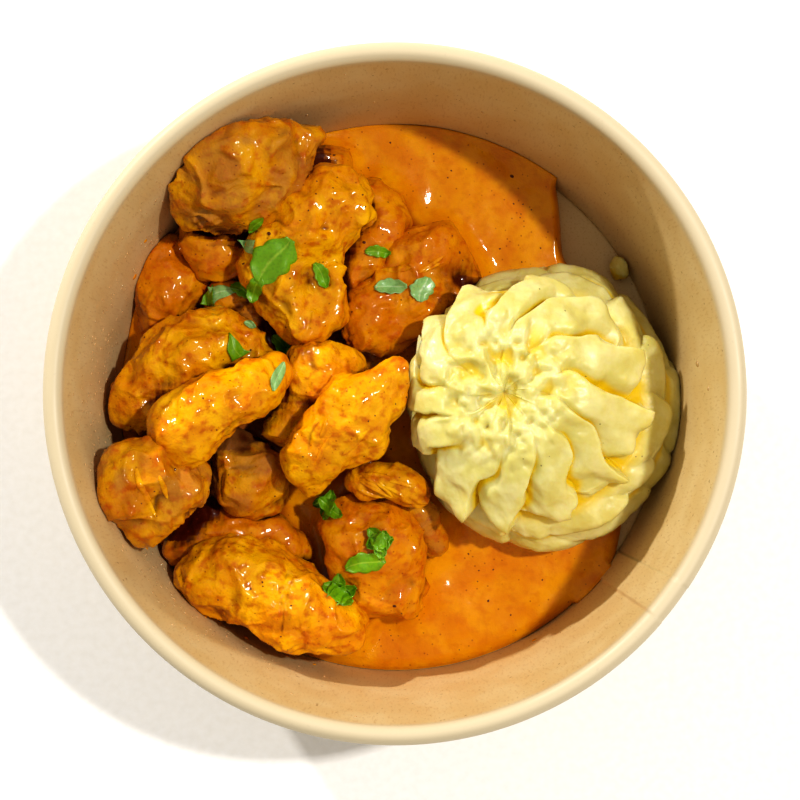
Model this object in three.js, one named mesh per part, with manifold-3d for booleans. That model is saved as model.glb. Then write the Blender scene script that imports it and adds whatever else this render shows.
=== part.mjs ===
// A round kraft-paper takeaway bowl of creamy chicken curry with a piped rosette of mashed potato.
// Millimetres, +Z up. The origin is the centre of the bowl's foot, on the table, and the thick
// part of the sauce lies towards -X.
import * as THREE from "three";
import Module from "manifold-3d";
import { mergeVertices } from "three/addons/utils/BufferGeometryUtils.js";

const wasm = await Module();
wasm.setup();

// ---- Driving dimensions -------------------------------------------------------------------

const GAP = 0.3; // clearance between touching pieces
const CHUNK_GAP = 0.4; // the same between chunks, whose facets stray more
const ROUND_SEGMENTS = 54; // facets round everything turned

// Bowl: 750 ml paper bowl with a rolled rim.
const PAPER = 0.5; // coated board
const BOWL_HEIGHT = 60;
const RIM_RADIUS = 75; // outside of the rolled rim
const FOOT_RADIUS = 64; // outside of the wall where it stands
const CURL_RADIUS = 2.1; // outside of the rim's roll
const CURL_SWEEP = 315; // degrees that the rim's paper is rolled through
const CURL_STEPS = 7;
const HEM_HEIGHT = 5.2; // the wall's lower edge is folded in and up this far
const FLOOR_Z = 6.5; // upper face of the base disc
const FLANGE_Z = 1.1; // lower edge of the base disc's turned-down flange
const BASE_BEND = 1; // how far the base disc's edge is rounded off

// Contents.
const SAUCE_LEVEL = 11.2; // at the middle of the bowl
const SAUCE_TILT = 2.4; // degrees; the pool is deeper towards +Y
const LOBE_BLEND = 2; // how softly a chunk's lobes melt into one another
const CHUNK_DETAIL = 2; // subdivision of the sphere each chunk is shaped from
const CHUNK_REACH = 60; // farther from its middle than any chunk goes
const CHUNK_STEP = 0.25; // how finely a chunk's surface is found

// Mashed potato rosette.
const MASH = {
  centre: [35.2, -2], // axis of the lower coil on the bowl's floor
  lean: [-11, 3.5], // how far the tip leans away from that axis
  tipZ: 46.5,
  crownDrop: 2.5, // from the tip to the edge of its flat crown
  crownShare: 0.45, // that edge's radius, as a share of the shoulder's
  browRise: 6, // from the shoulder up to where the side starts to round over
  browShare: 0.85, // radius there, as a share of the shoulder's
  shoulderZ: 33, // where the upper tier starts
  shoulderRadius: 26.5,
  waistZ: 27, // the crease between the two tiers
  waistRadius: 27.5,
  lipDrop: 3, // from the crease down to the lower tier's lip
  lipInset: 1.2, // the lip stands this far inside the widest part
  coilZ: 18, // widest part of the lower tier
  coilRadius: 31.8,
  footRadius: 29.5,
  petals: 12,
  petalDepth: 3.4,
  petalSunk: 0.6, // share of that depth that lies below the plain side
  petalRise: 0.6, // how much a petal lifts for each millimetre that it stands out
  coilShare: 0.25, // how much of the petals shows on the lower tier
  length: 1.05, // the rosette's length along Y over its width
  rings: 10,
  swirl: 0.9, // radians that a petal sweeps from the tip to the shoulder
  segments: 60,
};

// ---- Small tools --------------------------------------------------------------------------

// A closed geometry as a solid that can be joined and cut.
function solid(geometry) {
  const bare = geometry.clone();
  bare.deleteAttribute("normal");
  bare.deleteAttribute("uv");
  const merged = mergeVertices(bare, 1e-4);
  return new wasm.Manifold(
    new wasm.Mesh({
      numProp: 3,
      vertProperties: merged.attributes.position.array,
      triVerts: new Uint32Array(merged.index.array),
    }),
  );
}

// A solid back as a geometry; a cut can leave a loose crumb, so the largest body is kept.
function geometryOf(body) {
  const bodies = body.decompose().sort((a, b) => b.volume() - a.volume());
  const mesh = bodies[0].getMesh();
  const geometry = new THREE.BufferGeometry();
  geometry.setAttribute("position", new THREE.BufferAttribute(mesh.vertProperties, 3));
  geometry.setIndex(new THREE.BufferAttribute(mesh.triVerts, 1));
  geometry.computeVertexNormals();
  return geometry;
}

// Turns a closed [radius, z] profile, given anticlockwise, about the bowl's axis.
function turned(profile, segments = ROUND_SEGMENTS) {
  const points = profile.map(([radius, z]) => new THREE.Vector2(radius, z));
  const lathe = new THREE.LatheGeometry(points, segments);
  return lathe.rotateX(Math.PI / 2);
}

// The way across one stretch of a path: a unit [radius, z] at right angles to it.
function across(from, to) {
  const run = Math.hypot(to[0] - from[0], to[1] - from[1]);
  return [(from[1] - to[1]) / run, (to[0] - from[0]) / run];
}

// Both faces of a sheet of paper whose middle follows a path of [radius, z] points, with
// mitred corners.
function sheetProfile(path, thickness) {
  const left = [];
  const right = [];
  const last = path.length - 1;
  path.forEach((point, i) => {
    const before = i > 0 ? across(path[i - 1], point) : across(point, path[1]);
    const after = i < last ? across(point, path[i + 1]) : before;
    const mitre = thickness / 2 / (1 + before[0] * after[0] + before[1] * after[1]);
    const offset = [0, 1].map((k) => (before[k] + after[k]) * mitre);
    left.unshift([point[0] + offset[0], point[1] + offset[1]]);
    right.push([point[0] - offset[0], point[1] - offset[1]]);
  });
  const outline = [...right, ...left];
  return [...outline, outline[0]];
}

const WALL_SLOPE =
  (RIM_RADIUS - 2 * CURL_RADIUS - (FOOT_RADIUS - PAPER)) / (BOWL_HEIGHT - CURL_RADIUS);

// Inner radius of the bowl's wall at a height.
function wallRadius(z) {
  return FOOT_RADIUS - PAPER + WALL_SLOPE * z;
}

const group = new THREE.Group();

function addPiece(name, geometry, colour, roughness) {
  const material = new THREE.MeshStandardMaterial({ color: colour, roughness, metalness: 0 });
  const mesh = new THREE.Mesh(geometry, material);
  mesh.name = name;
  group.add(mesh);
}

// ---- Bowl ---------------------------------------------------------------------------------

// The wall is one sheet: hem, folded foot, cone and rolled rim.
function bowlSide() {
  const middle = PAPER / 2;
  const foldWidth = 2 * GAP + 2 * PAPER;
  const hem = [wallRadius(0) + middle - foldWidth, HEM_HEIGHT];
  const footIn = [hem[0], middle];
  const footOut = [wallRadius(0) + middle, middle];
  const path = [hem, footIn, footOut];
  const curlCentre = [wallRadius(BOWL_HEIGHT - CURL_RADIUS) + CURL_RADIUS, BOWL_HEIGHT - CURL_RADIUS];
  for (let i = 0; i <= CURL_STEPS; i += 1) {
    const angle = Math.PI - THREE.MathUtils.degToRad((CURL_SWEEP * i) / CURL_STEPS);
    path.push([
      curlCentre[0] + (CURL_RADIUS - middle) * Math.cos(angle),
      curlCentre[1] + (CURL_RADIUS - middle) * Math.sin(angle),
    ]);
  }
  return turned(sheetProfile(path, PAPER));
}

// The base disc sits inside the hem, with its flange turned down between the hem and the wall.
function bowlBase() {
  const outer = (z) => wallRadius(z) - GAP;
  return turned([
    [0, FLOOR_Z],
    [0, FLOOR_Z - PAPER],
    [outer(FLANGE_Z) - PAPER, FLOOR_Z - PAPER],
    [outer(FLANGE_Z) - PAPER, FLANGE_Z],
    [outer(FLANGE_Z), FLANGE_Z],
    [outer(FLOOR_Z - BASE_BEND), FLOOR_Z - BASE_BEND],
    [outer(FLOOR_Z) - BASE_BEND, FLOOR_Z],
    [0, FLOOR_Z],
  ]);
}

// The room inside the bowl, from just above its floor, clear of the wall by the gap.
function insideOfBowl(top) {
  const floor = FLOOR_Z + GAP;
  return solid(
    turned([
      [0, floor],
      [wallRadius(floor) - BASE_BEND - GAP, floor],
      [wallRadius(floor + BASE_BEND) - GAP, floor + BASE_BEND],
      [wallRadius(top) - GAP, top],
      [0, top],
      [0, floor],
    ]),
  );
}

// ---- Chicken ------------------------------------------------------------------------------

// Chunks of thigh meat, the topmost first. Each is a chain of rounded lobes [x, y, z, radius]
// that melt into one another.
const CHUNKS = [
  {
    name: "chicken_winged", // twisted piece in the middle, with a pointed wing and a hanging stub
    lobes: [
      [-11, -7.5, 38, 6.5],
      [-18, -11.5, 37, 5.5],
      [-12, 0.5, 39, 4],
      [-6.5, -3, 39, 5],
      [-2, 2, 40, 3.6],
      [1.2, 6.2, 41, 1.7],
      [-21.5, -16, 35, 3],
      [-20, -21.5, 31, 1.7],
      [-5, -9.5, 37, 4],
      [-12, -7.5, 31, 5.5],
    ],
  },
  {
    name: "chicken_strip", // slab lying across the left-hand chunk
    lobes: [
      [-33.5, -0.5, 40, 5.5],
      [-40, -1.5, 41, 6],
      [-45.5, -7, 40, 7],
      [-48, -13, 38, 4],
      [-50.5, -4.5, 38, 4],
      [-27, 6, 36, 3.5],
      [-29, 1.5, 38, 4],
    ],
  },
  {
    name: "chicken_wall_left", // knobbly chunk against the wall
    lobes: [
      [-57, -20, 39, 7.5],
      [-61, -15.5, 42, 4],
      [-51, -19, 38, 6],
      [-62, -20.5, 42, 3.5],
      [-55, -27, 37, 6],
      [-46.5, -24.5, 37, 4.5],
      [-54.5, -11.5, 39, 4],
      [-54.5, -20, 29, 8],
    ],
  },
  {
    name: "chicken_wall_top", // largest chunk, leaning on the wall up to the rim
    lobes: [
      [-37.5, 51.5, 40, 11],
      [-44, 47, 38, 7],
      [-35, 56.5, 44, 6],
      [-24.5, 55.5, 40, 5],
      [-19.5, 57.5, 37, 3],
      [-45, 41, 34, 5.5],
      [-33, 42, 34, 4.5],
      [-26.5, 49, 38, 5.5],
      [-38, 47, 29, 9],
    ],
  },
  {
    name: "chicken_shred", // small pulled strand
    lobes: [
      [-8.5, -20, 26, 3],
      [-4.5, -18.5, 28, 3],
      [0, -18, 30, 2.5],
      [3.5, -20.5, 30, 2.5],
      [5.5, -22.5, 29, 2],
    ],
  },
  {
    name: "chicken_upper_middle", // long folded piece above the middle
    lobes: [
      [-16.5, 43.5, 34, 7.5],
      [-11, 47.5, 32, 4],
      [-10, 38.5, 32, 5.5],
      [-23.5, 36, 34, 7],
      [-30, 30, 32, 5.5],
      [-25, 22.5, 32, 6],
      [-19.5, 17.5, 30, 6],
      [-13.5, 22.5, 30, 4.5],
      [-20, 35, 26, 7],
      [-22.5, 24, 24, 6],
    ],
  },
  {
    name: "chicken_middle", // rounded piece under the winged one
    lobes: [
      [-17.5, 5.5, 31, 6.5],
      [-20.5, 7.5, 31, 4],
      [-11.5, 6.5, 28, 3.5],
      [-21.5, -1, 28, 4],
      [-25.5, -6.5, 26, 4],
      [-14.5, 1, 30, 4.5],
      [-18, 2, 23, 6],
    ],
  },
  {
    name: "chicken_left", // broad chunk under the strip
    lobes: [
      [-44.5, 16, 28, 5],
      [-48.5, 10, 30, 7.5],
      [-56, 2, 28, 7],
      [-41, 11.5, 28, 6.5],
      [-34.5, 11.5, 26, 4.5],
      [-60.5, -4, 27, 4],
      [-49.5, 0, 28, 8],
      [-28.5, 8, 28, 3.5],
      [-50, 5, 19, 8],
    ],
  },
  {
    name: "chicken_bottom_long", // long piece round the lower left, half under sauce
    lobes: [
      [-40, -41.5, 24, 8],
      [-45.5, -41, 24, 5],
      [-33.5, -40.5, 25, 6.5],
      [-28, -46.5, 25, 7.5],
      [-21.5, -50, 24, 8],
      [-14, -52, 22, 7],
      [-22, -42, 22, 4],
      [-37, -41.5, 16, 8],
      [-24, -47.5, 15, 8],
    ],
  },
  {
    name: "chicken_lower_middle", // round piece at the edge of the pool
    lobes: [
      [-7, -28.5, 20, 7.5],
      [-12, -32.5, 20, 6],
      [-1.5, -36, 20, 7.5],
      [1.5, -43.5, 18, 6.5],
      [-6, -44.5, 18, 6],
      [1.5, -31, 20, 5],
    ],
  },
  {
    name: "chicken_right_flat", // flat sauce-coated piece beside the mash
    lobes: [
      [10.5, 32.5, 20, 7.5],
      [2.5, 33.5, 22, 6],
      [6, 23.5, 20, 8],
      [-5.5, 21, 22, 6.5],
      [-7.5, 15, 22, 5],
      [-2, 14.5, 20, 4],
      [15.5, 26, 16, 5.5],
    ],
  },
  {
    name: "chicken_shaded", // piece deep between the left-hand chunks, with a curved knob
    lobes: [
      [-34.5, -16.5, 21, 7.5],
      [-38.5, -22, 26, 3],
      [-34, -18, 27, 2.5],
      [-29, -17, 27, 2.5],
      [-38, -11.5, 23, 5],
      [-31, -23, 20, 5.5],
    ],
  },
  {
    name: "chicken_ridge", // ridge under sauce, right of the folded piece
    lobes: [
      [-6, 45.5, 20, 5],
      [-2, 41, 20, 4.5],
      [-5.5, 35, 20, 6],
      [-9, 27, 20, 5.5],
    ],
  },
  {
    name: "chicken_between", // low piece between the left-hand and the folded one
    lobes: [
      [-33.5, 18, 22, 5],
      [-39.5, 23.5, 20, 4.5],
      [-29, 13, 20, 4],
    ],
  },
  {
    name: "chicken_sunk", // smooth piece half sunk above the long one
    lobes: [
      [-49, -34.5, 18, 4.5],
      [-44.5, -30, 16, 4.5],
      [-37.5, -30, 16, 6],
      [-30.5, -32, 17, 6],
      [-25, -35.5, 16, 4.5],
    ],
  },
  {
    name: "chicken_dark_right", // dark end beside the mash
    lobes: [
      [3, -24, 20, 3],
      [6.5, -28, 19, 4],
      [9, -33.5, 16, 3],
    ],
  },
  {
    name: "chicken_under_top", // dark piece under the largest chunk
    lobes: [
      [-41.5, 34, 22, 6.5],
      [-45, 38, 24, 5.5],
      [-37, 32.5, 20, 4.5],
      [-40.5, 43.5, 19, 6],
    ],
  },
  {
    name: "chicken_behind_top", // coated knob between the largest chunk and the open sauce
    lobes: [
      [-19, 52.5, 20, 4.5],
      [-14.5, 55.5, 17, 3.5],
      [-24, 49.5, 22, 4],
    ],
  },
  {
    name: "chicken_far_left", // dark piece low against the left wall
    lobes: [
      [-53.5, 32.5, 18, 5],
      [-54.5, 24.5, 16, 6.5],
      [-48, 28, 18, 5],
      [-57, 19, 14, 4.5],
    ],
  },
];

// How deep a point lies in the melted lobes: above 1 is meat.
function meatField(point, lobes, swell) {
  return lobes.reduce((sum, [x, y, z, radius]) => {
    const reach = Math.hypot(point.x - x, point.y - y, point.z - z);
    return sum + Math.exp((radius + swell - reach) / LOBE_BLEND);
  }, 0);
}

// The long way of a chunk: from its middle to its farthest lobe, and how slender it is.
function longWay(lobes, middle) {
  const ends = lobes.map(([x, y, z, radius]) => {
    const way = new THREE.Vector3(x, y, z).sub(middle);
    return { way, reach: way.length() + radius };
  });
  const far = ends.reduce((a, b) => (b.reach > a.reach ? b : a));
  const widest = Math.max(...lobes.map((lobe) => lobe[3]));
  return { axis: far.way.clone().normalize(), stretch: Math.max(far.reach / widest - 1, 0) };
}

// A chunk's surface: each corner of a sphere moved out to where the melted lobes end.
function chunk({ lobes }, swell = 0) {
  const middle = new THREE.Vector3();
  let weight = 0;
  lobes.forEach(([x, y, z, radius]) => {
    middle.add(new THREE.Vector3(x, y, z).multiplyScalar(radius ** 3));
    weight += radius ** 3;
  });
  middle.divideScalar(weight);
  const { axis, stretch } = longWay(lobes, middle);
  const geometry = new THREE.IcosahedronGeometry(1, CHUNK_DETAIL);
  const corners = geometry.attributes.position;
  for (let i = 0; i < corners.count; i += 1) {
    const way = new THREE.Vector3().fromBufferAttribute(corners, i);
    way.addScaledVector(axis, stretch * way.dot(axis)).normalize();
    const depthAt = (reach) => meatField(way.clone().multiplyScalar(reach).add(middle), lobes, swell);
    let reach = CHUNK_REACH;
    while (reach > CHUNK_STEP && depthAt(reach) < 1) reach -= CHUNK_STEP;
    corners.setXYZ(i, ...way.multiplyScalar(reach).add(middle).toArray());
  }
  return solid(geometry);
}

// ---- Mashed potato ------------------------------------------------------------------------

// A point [radius, z] on the rosette's side, a share of the way from its tip to its foot.
function sideAt(share) {
  const stops = [
    [0, MASH.tipZ],
    [MASH.shoulderRadius * MASH.crownShare, MASH.tipZ - MASH.crownDrop],
    [MASH.shoulderRadius * MASH.browShare, MASH.shoulderZ + MASH.browRise],
    [MASH.shoulderRadius, MASH.shoulderZ],
    [MASH.waistRadius, MASH.waistZ],
    [MASH.coilRadius - MASH.lipInset, MASH.waistZ - MASH.lipDrop],
    [MASH.coilRadius, MASH.coilZ],
    [MASH.footRadius, FLOOR_Z + GAP],
  ];
  const at = share * (stops.length - 1);
  const index = Math.min(Math.floor(at), stops.length - 2);
  const between = at - index;
  return [0, 1].map((k) => stops[index][k] * (1 - between) + stops[index + 1][k] * between);
}

// Piped rosette: a leaning tier of swept petals on a smooth coil.
function rosette() {
  const profile = [[0, FLOOR_Z + GAP]];
  for (let i = MASH.rings; i >= 0; i -= 1) profile.push(sideAt(i / MASH.rings));
  const geometry = turned(profile, MASH.segments);
  const corners = geometry.attributes.position;
  for (let i = 0; i < corners.count; i += 1) {
    const [x, y, z] = [corners.getX(i), corners.getY(i), corners.getZ(i)];
    const radius = Math.hypot(x, y);
    const angle = Math.atan2(y, x);
    const climb = THREE.MathUtils.clamp((z - MASH.waistZ) / (MASH.tipZ - MASH.waistZ), 0, 1);
    const outward = Math.min(radius / MASH.shoulderRadius, 1);
    const turn = (MASH.petals * (angle + MASH.swirl * outward)) / (2 * Math.PI);
    const share = turn - Math.floor(turn);
    const full = climb > 0 ? 1 : MASH.coilShare;
    const petal = MASH.petalDepth * (Math.sqrt(share) - MASH.petalSunk) * outward * full;
    const grown = radius > 0 ? (radius + petal) / radius : 1;
    corners.setXYZ(
      i,
      MASH.centre[0] + x * grown + MASH.lean[0] * climb,
      MASH.centre[1] + y * grown * MASH.length + MASH.lean[1] * climb,
      climb > 0 && climb < 1 ? z + petal * MASH.petalRise : z,
    );
  }
  return geometry;
}

// The same rosette grown a little, to cut its neighbours clear of it.
function rosetteClearance() {
  const geometry = rosette();
  const corners = geometry.attributes.position;
  const centre = new THREE.Vector3(...MASH.centre, (FLOOR_Z + MASH.tipZ) / 2);
  const grow = 1 + (2 * GAP) / MASH.footRadius;
  for (let i = 0; i < corners.count; i += 1) {
    const corner = new THREE.Vector3().fromBufferAttribute(corners, i);
    corner.sub(centre).multiplyScalar(grow).add(centre);
    corners.setXYZ(i, ...corner.toArray());
  }
  return solid(geometry);
}

// ---- Sauce --------------------------------------------------------------------------------

// The part of the bowl's floor that the sauce leaves bare, as seen from above.
function bareFloor() {
  const edge = new THREE.CatmullRomCurve3([
    new THREE.Vector3(37, 62, 0),
    new THREE.Vector3(39.5, 45, 0),
    new THREE.Vector3(41.5, 33, 0),
    new THREE.Vector3(50, 0, 0),
    new THREE.Vector3(54, -29, 0),
    new THREE.Vector3(50, -40, 0),
    new THREE.Vector3(48, -62, 0),
  ]);
  const outline = edge.getPoints(16).map(({ x, y }) => new THREE.Vector2(x, y));
  const shape = new THREE.Shape([...outline, new THREE.Vector2(90, -62), new THREE.Vector2(90, 62)]);
  const depth = 2 * SAUCE_LEVEL;
  return solid(new THREE.ExtrudeGeometry(shape, { depth, bevelEnabled: false }));
}

// The air above the pool.
function aboveSauce() {
  const width = 3 * RIM_RADIUS;
  const air = new THREE.BoxGeometry(width, width, BOWL_HEIGHT).translate(0, 0, BOWL_HEIGHT / 2);
  air.rotateX(THREE.MathUtils.degToRad(SAUCE_TILT));
  return solid(air.translate(0, 0, SAUCE_LEVEL));
}

// ---- Assembly -----------------------------------------------------------------------------

const KRAFT = 0xc79a62;
const SAUCE = 0xd9700a;
const CHICKEN = 0xd98a1a;
const MASH_YELLOW = 0xecdc90;

addPiece("bowl_side", bowlSide(), KRAFT, 0.75);
addPiece("bowl_base", bowlBase(), KRAFT, 0.75);

const room = insideOfBowl(BOWL_HEIGHT - 2 * CURL_RADIUS);
let taken = rosetteClearance();
addPiece("mash", geometryOf(solid(rosette()).intersect(room)), MASH_YELLOW, 0.5);

CHUNKS.forEach((piece) => {
  const body = chunk(piece).intersect(room).subtract(taken);
  addPiece(piece.name, geometryOf(body), CHICKEN, 0.35);
  taken = taken.add(chunk(piece, CHUNK_GAP));
});

const crumb = { lobes: [[54, 33.2, 9, 2], [53.4, 30.6, 9, 1.6]] };
addPiece("mash_crumb", geometryOf(chunk(crumb).intersect(room)), MASH_YELLOW, 0.5);

const pool = room.subtract(aboveSauce()).subtract(bareFloor()).subtract(taken);
addPiece("sauce", geometryOf(pool), SAUCE, 0.3);

export default group;
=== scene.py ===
"""Creamy chicken curry with a piped rosette of mashed potato, in a kraft-paper takeaway bowl.

Lengths are metres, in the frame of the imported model: +Z up, the bowl's foot on z = 0.
"""

import logging
import math
from dataclasses import dataclass, field
from enum import Enum
from typing import Any, Sequence

import bpy
import numpy as np
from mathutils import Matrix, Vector
from mathutils.bvhtree import BVHTree

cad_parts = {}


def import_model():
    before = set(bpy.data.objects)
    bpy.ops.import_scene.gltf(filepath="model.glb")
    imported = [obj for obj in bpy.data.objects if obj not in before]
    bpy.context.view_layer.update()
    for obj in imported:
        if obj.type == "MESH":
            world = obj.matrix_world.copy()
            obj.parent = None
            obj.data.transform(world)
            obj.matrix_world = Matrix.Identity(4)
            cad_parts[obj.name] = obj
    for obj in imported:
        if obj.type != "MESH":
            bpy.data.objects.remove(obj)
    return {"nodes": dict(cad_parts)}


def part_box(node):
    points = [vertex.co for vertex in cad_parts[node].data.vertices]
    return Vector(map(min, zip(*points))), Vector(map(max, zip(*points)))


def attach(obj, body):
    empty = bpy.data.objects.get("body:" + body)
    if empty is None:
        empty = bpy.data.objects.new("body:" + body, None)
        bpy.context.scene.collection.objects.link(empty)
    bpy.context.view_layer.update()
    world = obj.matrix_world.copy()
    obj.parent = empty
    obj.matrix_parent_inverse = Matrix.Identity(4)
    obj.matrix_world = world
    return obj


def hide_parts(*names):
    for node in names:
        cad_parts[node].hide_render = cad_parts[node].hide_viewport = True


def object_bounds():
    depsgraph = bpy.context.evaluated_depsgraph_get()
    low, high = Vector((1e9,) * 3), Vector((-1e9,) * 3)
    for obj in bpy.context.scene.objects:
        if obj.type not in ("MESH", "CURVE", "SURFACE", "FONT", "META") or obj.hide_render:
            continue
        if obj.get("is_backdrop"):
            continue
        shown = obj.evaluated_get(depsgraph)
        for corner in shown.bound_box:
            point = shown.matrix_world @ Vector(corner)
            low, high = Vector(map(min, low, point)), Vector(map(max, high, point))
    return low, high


LOG = logging.getLogger("curry")
MM = 0.001
BODY = "root"
DROP_HEIGHT = 90 * MM
Span = tuple[float, float]
Corner = tuple[float, float, float]
Rgba = tuple[float, float, float, float]
Face = tuple[int, ...]
Socket = bpy.types.NodeSocket


# ---- Numbers, curves and noise -------------------------------------------------------------


def linear(hex_colour: str) -> Rgba:
    """Turns an sRGB hex colour into linear light.

    Args:
        hex_colour: Six hex digits, such as "C79A62".

    Returns:
        Red, green, blue and alpha as a shader takes them.
    """
    parts = [int(hex_colour[i : i + 2], 16) / 255 for i in (0, 2, 4)]
    light = [p / 12.92 if p <= 0.04045 else ((p + 0.055) / 1.055) ** 2.4 for p in parts]
    return (light[0], light[1], light[2], 1.0)


def smoothstep(low: float, high: float, value: np.ndarray) -> np.ndarray:
    """A soft step from 0 at low to 1 at high."""
    share = np.clip((value - low) / (high - low), 0.0, 1.0)
    return share * share * (3 - 2 * share)


def rounded_path(points: Sequence[Span], count: int) -> np.ndarray:
    """A smooth curve through a few points.

    Args:
        points: The points that the curve passes through.
        count: How many samples to take along it.

    Returns:
        An array of count points.
    """
    knots = np.array(points, float)
    knots = np.vstack([2 * knots[0] - knots[1], knots, 2 * knots[-1] - knots[-2]])
    spans = len(points) - 1
    along = np.linspace(0, spans, count)
    index = np.minimum(along.astype(int), spans - 1)
    t = (along - index)[:, None]
    a, b, c, d = (knots[index + k] for k in range(4))
    return 0.5 * (
        2 * b + (c - a) * t + (2 * a - 5 * b + 4 * c - d) * t**2 + (3 * b - a - 3 * c + d) * t**3
    )


class LatticeNoise:
    """Smooth seeded noise from random values on a cubic lattice."""

    SIDE = 32
    SHIFT = 7.3 * MM

    def __init__(self, seed: int) -> None:
        """Draws the lattice from a seed."""
        self.values = np.random.default_rng(seed).uniform(-1, 1, (self.SIDE,) * 3)

    def at(self, points: np.ndarray, grain: float | Sequence[float]) -> np.ndarray:
        """Noise between -1 and 1.

        Args:
            points: An array of places, three numbers each.
            grain: Size of one lattice cell, or one size for each axis.

        Returns:
            One value for each point.
        """
        place = points / np.asarray(grain)
        cell = np.floor(place).astype(int)
        share = place - cell
        share = share * share * (3 - 2 * share)
        total = np.zeros(len(points))
        for corner in np.ndindex(2, 2, 2):
            index = (cell + corner) % self.SIDE
            weight = np.prod(np.where(corner, share, 1 - share), axis=1)
            total += weight * self.values[index[:, 0], index[:, 1], index[:, 2]]
        return total

    def layered(self, points: np.ndarray, grain: float, layers: int = 3) -> np.ndarray:
        """Noise with finer, weaker layers added.

        Args:
            points: An array of places, three numbers each.
            grain: Size of the coarsest layer's cells.
            layers: Number of layers, each half the size and strength of the one before.

        Returns:
            One value for each point.
        """
        total = np.zeros(len(points))
        for layer in range(layers):
            total += self.at(points + layer * self.SHIFT, grain / 2**layer) / 2**layer
        return total


# ---- Meshes --------------------------------------------------------------------------------


@dataclass
class Surface:
    """A mesh as arrays, with named values at its corners."""

    corners: np.ndarray
    faces: list[Face]
    values: dict[str, np.ndarray] = field(default_factory=dict)


def heaped(surfaces: Sequence[Surface]) -> Surface:
    """Joins several surfaces into one.

    Args:
        surfaces: The surfaces, all with the same named values.

    Returns:
        The whole.
    """
    faces: list[Face] = []
    shift = 0
    for surface in surfaces:
        faces += [tuple(i + shift for i in face) for face in surface.faces]
        shift += len(surface.corners)
    values = {key: np.concatenate([s.values[key] for s in surfaces]) for key in surfaces[0].values}
    return Surface(np.vstack([s.corners for s in surfaces]), faces, values)


def ring_faces(rings: int, around: int) -> list[Face]:
    """Quads between closed rings of corners laid one after another.

    Args:
        rings: Number of rings.
        around: Corners in each ring.

    Returns:
        The quads, facing outwards where each ring is anticlockwise and the next is below it.
    """
    faces = []
    for ring in range(rings - 1):
        upper, lower = ring * around, (ring + 1) * around
        for i in range(around):
            j = (i + 1) % around
            faces.append((upper + i, lower + i, lower + j, upper + j))
    return faces


def dressed(
    name: str, mesh: bpy.types.Mesh, values: dict[str, np.ndarray], material: bpy.types.Material
) -> bpy.types.Object:
    """Makes a smooth-shaded object of a mesh.

    Args:
        name: The object's name.
        mesh: Its mesh.
        values: Numbers at the mesh's corners, by attribute name.
        material: Its finish.

    Returns:
        The new object.
    """
    for key, value in values.items():
        layer = mesh.attributes.new(key, "FLOAT", "POINT")
        layer.data.foreach_set("value", value.astype(np.float32))
    mesh.materials.clear()
    mesh.materials.append(material)
    mesh.polygons.foreach_set("use_smooth", [True] * len(mesh.polygons))
    mesh.update()
    piece = bpy.data.objects.new(name, mesh)
    bpy.context.collection.objects.link(piece)
    return piece


def add_object(name: str, surface: Surface, material: bpy.types.Material) -> bpy.types.Object:
    """Makes an object of a surface.

    Args:
        name: The object's name.
        surface: Its corners, faces and values.
        material: Its finish.

    Returns:
        The new object.
    """
    mesh = bpy.data.meshes.new(name)
    mesh.from_pydata(surface.corners.tolist(), [], surface.faces)
    return dressed(name, mesh, surface.values, material)


def hand_over(piece: bpy.types.Object, slot: str, *nodes: str) -> None:
    """Puts a piece on the body, logs its finish's slot and hides the solids it stands for.

    Args:
        piece: The finished piece.
        slot: Its material slot.
        nodes: The solids it stands for.
    """
    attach(piece, BODY)
    if nodes:
        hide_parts(*nodes)
    faces = len(piece.data.polygons)
    LOG.info("%s: %d faces, slot %s, stands for %s", piece.name, faces, slot, nodes or "nothing")


def triples(items: Any, key: str) -> np.ndarray:
    """Reads three numbers from each item of a mesh's list.

    Args:
        items: The mesh's corners or normals.
        key: The property that holds the numbers.

    Returns:
        One row for each item.
    """
    flat = np.empty(3 * len(items))
    items.foreach_get(key, flat)
    return flat.reshape(-1, 3)


def blurred(grid: np.ndarray, reach: int, width: float) -> np.ndarray:
    """Blurs a grid along both its axes.

    Args:
        grid: Values on a square grid.
        reach: How many cells away a value still counts.
        width: Width of the blur, in cells.

    Returns:
        The blurred grid.
    """
    weight = np.exp(-0.5 * (np.arange(-reach, reach + 1) / width) ** 2)
    weight /= weight.sum()
    for axis in (0, 1):
        grid = np.apply_along_axis(lambda row: np.convolve(row, weight, "same"), axis, grid)
    return grid


class Ground:
    """What lies in the bowl, to drop small things onto from above."""

    def __init__(self, pieces: Sequence[bpy.types.Object]) -> None:
        """Gathers meshes into one search tree.

        Args:
            pieces: The objects that things can lie on.
        """
        whole = heaped([
            Surface(triples(p.data.vertices, "co"), [tuple(f.vertices) for f in p.data.polygons])
            for p in pieces
        ])
        self.tree = BVHTree.FromPolygons(whole.corners.tolist(), whole.faces)

    def below(self, x: float, y: float) -> tuple[Vector, Vector] | None:
        """Finds the first surface under a point.

        Args:
            x: Place along X.
            y: Place along Y.

        Returns:
            The place hit and its normal, or None.
        """
        place, normal, _, _ = self.tree.ray_cast(Vector((x, y, DROP_HEIGHT)), Vector((0, 0, -1)))
        return None if place is None else (place, normal)

    def heights(self, x: np.ndarray, y: np.ndarray, missing: float) -> np.ndarray:
        """Finds the heights of the surface under many points.

        Args:
            x: Places along X.
            y: Places along Y.
            missing: The height where there is no surface.

        Returns:
            One height for each point.
        """
        hits = [self.below(a, b) for a, b in zip(x.ravel(), y.ravel())]
        return np.array([hit[0].z if hit else missing for hit in hits]).reshape(x.shape)


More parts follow.
